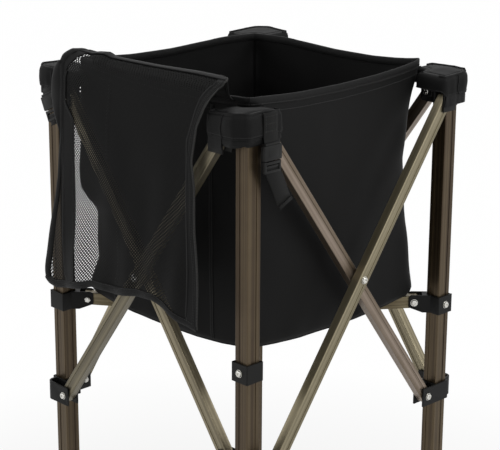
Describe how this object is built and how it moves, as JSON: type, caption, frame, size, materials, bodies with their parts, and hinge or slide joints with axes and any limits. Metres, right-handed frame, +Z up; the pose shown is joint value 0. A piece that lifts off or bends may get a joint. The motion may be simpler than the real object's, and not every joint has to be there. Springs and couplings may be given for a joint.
{
  "type": "tennis ball cart",
  "caption": "Folding ball cart: square legs, scissor side frames on sliders, swivel casters and a hung cloth bag with a mesh lid.",
  "frame": {"origin": "on the floor, midway between the four legs, under the centre of the part", "axes": "+Z up, -Y toward the side where the mesh lid hangs, +X to the right seen from that side"},
  "size_m": [0.4827, 0.4891, 0.912],
  "materials": {
    "frame_tube": "satin",
    "bracket_plastic": "matt",
    "bolt_steel": "polished",
    "caster_plastic": "semi gloss",
    "caster_tread": "matt",
    "bag_cloth": "matt",
    "webbing": "matt",
    "lid_mesh": "matt"
  },
  "bodies": {
    "front_right_leg": {"leg_front_right": "frame_tube", "top_bracket_front_right": "bracket_plastic", "mid_bracket_front_right": "bracket_plastic", "leg_fittings_front_right": "bolt_steel", "corner_pocket_front_right": "bag_cloth", "bag_wall_front": "bag_cloth", "bag_wall_right": "bag_cloth", "bag_floor": "bag_cloth", "lid_hem": "lid_mesh"},
    "front_right_slider": {"slider_front_right": "bracket_plastic", "slider_bolts_front_right": "bolt_steel"},
    "front_right_arm": {"support_arm_front_right": "frame_tube"},
    "front_right_caster": {"caster_fork_front_right": "caster_plastic"},
    "front_right_wheel": {"caster_wheel_front_right": "caster_tread"},
    "back_right_leg": {"leg_back_right": "frame_tube", "top_bracket_back_right": "bracket_plastic", "mid_bracket_back_right": "bracket_plastic", "leg_fittings_back_right": "bolt_steel", "corner_pocket_back_right": "bag_cloth", "bag_wall_back": "bag_cloth"},
    "back_right_slider": {"slider_back_right": "bracket_plastic", "slider_bolts_back_right": "bolt_steel"},
    "back_right_arm": {"support_arm_back_right": "frame_tube"},
    "back_right_caster": {"caster_fork_back_right": "caster_plastic"},
    "back_right_wheel": {"caster_wheel_back_right": "caster_tread"},
    "back_left_leg": {"leg_back_left": "frame_tube", "top_bracket_back_left": "bracket_plastic", "mid_bracket_back_left": "bracket_plastic", "leg_fittings_back_left": "bolt_steel", "corner_pocket_back_left": "bag_cloth"},
    "back_left_slider": {"slider_back_left": "bracket_plastic", "slider_bolts_back_left": "bolt_steel"},
    "back_left_arm": {"support_arm_back_left": "frame_tube"},
    "back_left_caster": {"caster_fork_back_left": "caster_plastic"},
    "back_left_wheel": {"caster_wheel_back_left": "caster_tread"},
    "front_left_leg": {"leg_front_left": "frame_tube", "top_bracket_front_left": "bracket_plastic", "mid_bracket_front_left": "bracket_plastic", "leg_fittings_front_left": "bolt_steel", "corner_pocket_front_left": "bag_cloth", "bag_wall_left": "bag_cloth"},
    "front_left_slider": {"slider_front_left": "bracket_plastic", "slider_bolts_front_left": "bolt_steel"},
    "front_left_arm": {"support_arm_front_left": "frame_tube"},
    "front_left_caster": {"caster_fork_front_left": "caster_plastic"},
    "front_left_wheel": {"caster_wheel_front_left": "caster_tread"},
    "right_inner_bar": {"bar_inner_right": "frame_tube"},
    "right_outer_bar": {"bar_outer_right": "frame_tube", "crossing_bolt_right": "bolt_steel"},
    "back_inner_bar": {"bar_inner_back": "frame_tube"},
    "back_outer_bar": {"bar_outer_back": "frame_tube", "crossing_bolt_back": "bolt_steel"},
    "left_inner_bar": {"bar_inner_left": "frame_tube"},
    "left_outer_bar": {"bar_outer_left": "frame_tube", "crossing_bolt_left": "bolt_steel"},
    "front_inner_bar": {"bar_inner_front": "frame_tube"},
    "front_outer_bar": {"bar_outer_front": "frame_tube", "crossing_bolt_front": "bolt_steel"},
    "hub": {"hub": "bracket_plastic"},
    "lid": {"lid": "lid_mesh"}
  },
  "joints": [
    {"name": "fold", "type": "hinge", "parent": "front_right_leg", "child": "right_inner_bar", "pos_m": [0.205, -0.168, 0.836], "axis": [-1, 0, 0], "range_deg": [0, 30.35], "deforming": ["bag_wall_front", "bag_wall_right", "bag_wall_back", "bag_wall_left", "bag_floor", "lid_hem", "lid"]},
    {"name": "right_crossing", "type": "hinge", "parent": "right_inner_bar", "child": "right_outer_bar", "pos_m": [0.2139, 0, 0.6045], "axis": [1, 0, 0], "range_deg": [0, 60.71]},
    {"name": "back_right_leg_top", "type": "hinge", "parent": "right_outer_bar", "child": "back_right_leg", "pos_m": [0.2228, 0.168, 0.836], "axis": [-1, 0, 0], "range_deg": [0, 30.36]},
    {"name": "front_right_slider_pivot", "type": "hinge", "parent": "right_outer_bar", "child": "front_right_slider", "pos_m": [0.2228, -0.168, 0.373], "axis": [-1, 0, 0], "range_deg": [0, 30.36]},
    {"name": "back_right_slider_pivot", "type": "hinge", "parent": "right_inner_bar", "child": "back_right_slider", "pos_m": [0.205, 0.168, 0.373], "axis": [1, 0, 0], "range_deg": [0, 30.36]},
    {"name": "back_inner_bar_top", "type": "hinge", "parent": "back_right_leg", "child": "back_inner_bar", "pos_m": [0.168, 0.205, 0.836], "axis": [0, -1, 0], "range_deg": [0, 30.36]},
    {"name": "back_crossing", "type": "hinge", "parent": "back_inner_bar", "child": "back_outer_bar", "pos_m": [0, 0.2139, 0.6045], "axis": [0, 1, 0], "range_deg": [0, 60.71]},
    {"name": "back_left_leg_top", "type": "hinge", "parent": "back_outer_bar", "child": "back_left_leg", "pos_m": [-0.168, 0.2228, 0.836], "axis": [0, -1, 0], "range_deg": [0, 30.36]},
    {"name": "back_left_slider_pivot", "type": "hinge", "parent": "back_inner_bar", "child": "back_left_slider", "pos_m": [-0.168, 0.205, 0.373], "axis": [0, 1, 0], "range_deg": [0, 30.36]},
    {"name": "front_outer_bar_top", "type": "hinge", "parent": "front_right_leg", "child": "front_outer_bar", "pos_m": [0.168, -0.2228, 0.836], "axis": [0, -1, 0], "range_deg": [0, 30.36]},
    {"name": "front_crossing", "type": "hinge", "parent": "front_outer_bar", "child": "front_inner_bar", "pos_m": [0, -0.2139, 0.6045], "axis": [0, 1, 0], "range_deg": [0, 60.71]},
    {"name": "front_left_leg_top", "type": "hinge", "parent": "front_inner_bar", "child": "front_left_leg", "pos_m": [-0.168, -0.205, 0.836], "axis": [0, -1, 0], "range_deg": [0, 30.36]},
    {"name": "front_left_slider_pivot", "type": "hinge", "parent": "front_outer_bar", "child": "front_left_slider", "pos_m": [-0.168, -0.2228, 0.373], "axis": [0, 1, 0], "range_deg": [0, 30.36]},
    {"name": "left_inner_bar_top", "type": "hinge", "parent": "back_left_leg", "child": "left_inner_bar", "pos_m": [-0.205, 0.168, 0.836], "axis": [1, 0, 0], "range_deg": [0, 30.36]},
    {"name": "left_outer_bar_top", "type": "hinge", "parent": "front_left_leg", "child": "left_outer_bar", "pos_m": [-0.2228, -0.168, 0.836], "axis": [-1, 0, 0], "range_deg": [0, 30.36]},
    {"name": "front_right_arm_pivot", "type": "hinge", "parent": "front_right_leg", "child": "front_right_arm", "pos_m": [0.17454, -0.17454, 0.516], "axis": [-0.7071, -0.7071, 0], "range_deg": [0, 88.55]},
    {"name": "back_right_arm_pivot", "type": "hinge", "parent": "back_right_leg", "child": "back_right_arm", "pos_m": [0.17454, 0.17454, 0.516], "axis": [0.7071, -0.7071, 0], "range_deg": [0, 88.55]},
    {"name": "back_left_arm_pivot", "type": "hinge", "parent": "back_left_leg", "child": "back_left_arm", "pos_m": [-0.17454, 0.17454, 0.516], "axis": [0.7071, 0.7071, 0], "range_deg": [0, 88.55]},
    {"name": "front_left_arm_pivot", "type": "hinge", "parent": "front_left_leg", "child": "front_left_arm", "pos_m": [-0.17454, -0.17454, 0.516], "axis": [-0.7071, 0.7071, 0], "range_deg": [0, 88.55]},
    {"name": "hub_pivot", "type": "hinge", "parent": "front_right_arm", "child": "hub", "pos_m": [0.0396, -0.0396, 0.504], "axis": [0.7071, 0.7071, 0], "range_deg": [0, 88.55]},
    {"name": "front_right_swivel", "type": "hinge", "parent": "front_right_leg", "child": "front_right_caster", "pos_m": [0.2, -0.2, 0.066], "axis": [0, 0, 1], "continuous": true},
    {"name": "front_right_wheel_axle", "type": "hinge", "parent": "front_right_caster", "child": "front_right_wheel", "pos_m": [0.2, -0.18, 0.025], "axis": [1, 0, 0], "continuous": true},
    {"name": "back_right_swivel", "type": "hinge", "parent": "back_right_leg", "child": "back_right_caster", "pos_m": [0.2, 0.2, 0.066], "axis": [0, 0, 1], "continuous": true},
    {"name": "back_right_wheel_axle", "type": "hinge", "parent": "back_right_caster", "child": "back_right_wheel", "pos_m": [0.2, 0.22, 0.025], "axis": [1, 0, 0], "continuous": true},
    {"name": "back_left_swivel", "type": "hinge", "parent": "back_left_leg", "child": "back_left_caster", "pos_m": [-0.2, 0.2, 0.066], "axis": [0, 0, 1], "continuous": true},
    {"name": "back_left_wheel_axle", "type": "hinge", "parent": "back_left_caster", "child": "back_left_wheel", "pos_m": [-0.2, 0.22, 0.025], "axis": [1, 0, 0], "continuous": true},
    {"name": "front_left_swivel", "type": "hinge", "parent": "front_left_leg", "child": "front_left_caster", "pos_m": [-0.2, -0.2, 0.066], "axis": [0, 0, 1], "continuous": true},
    {"name": "front_left_wheel_axle", "type": "hinge", "parent": "front_left_caster", "child": "front_left_wheel", "pos_m": [-0.2, -0.18, 0.025], "axis": [1, 0, 0], "continuous": true},
    {"name": "lid_hinge", "type": "hinge", "parent": "front_right_leg", "child": "lid", "pos_m": [0, -0.212, 0.912], "axis": [-1, 0, 0], "range_deg": [0, 270], "deforming": ["lid_hem"]}
  ],
  "couplings": [
    {"joint": "right_crossing", "follows": "fold", "ratio": 2},
    {"joint": "back_right_leg_top", "follows": "fold", "ratio": 1},
    {"joint": "front_right_slider_pivot", "follows": "fold", "ratio": 1},
    {"joint": "back_right_slider_pivot", "follows": "fold", "ratio": 1},
    {"joint": "back_inner_bar_top", "follows": "fold", "ratio": 1},
    {"joint": "back_crossing", "follows": "fold", "ratio": 2},
    {"joint": "back_left_leg_top", "follows": "fold", "ratio": 1},
    {"joint": "back_left_slider_pivot", "follows": "fold", "ratio": 1},
    {"joint": "front_outer_bar_top", "follows": "fold", "ratio": 1},
    {"joint": "front_crossing", "follows": "fold", "ratio": 2},
    {"joint": "front_left_leg_top", "follows": "fold", "ratio": 1},
    {"joint": "front_left_slider_pivot", "follows": "fold", "ratio": 1},
    {"joint": "left_inner_bar_top", "follows": "fold", "ratio": 1},
    {"joint": "left_outer_bar_top", "follows": "fold", "ratio": 1},
    {"joint": "front_right_arm_pivot", "follows": "fold", "ratio": 2.9174},
    {"joint": "back_right_arm_pivot", "follows": "fold", "ratio": 2.9174},
    {"joint": "back_left_arm_pivot", "follows": "fold", "ratio": 2.9174},
    {"joint": "front_left_arm_pivot", "follows": "fold", "ratio": 2.9174},
    {"joint": "hub_pivot", "follows": "fold", "ratio": 2.9174}
  ]
}
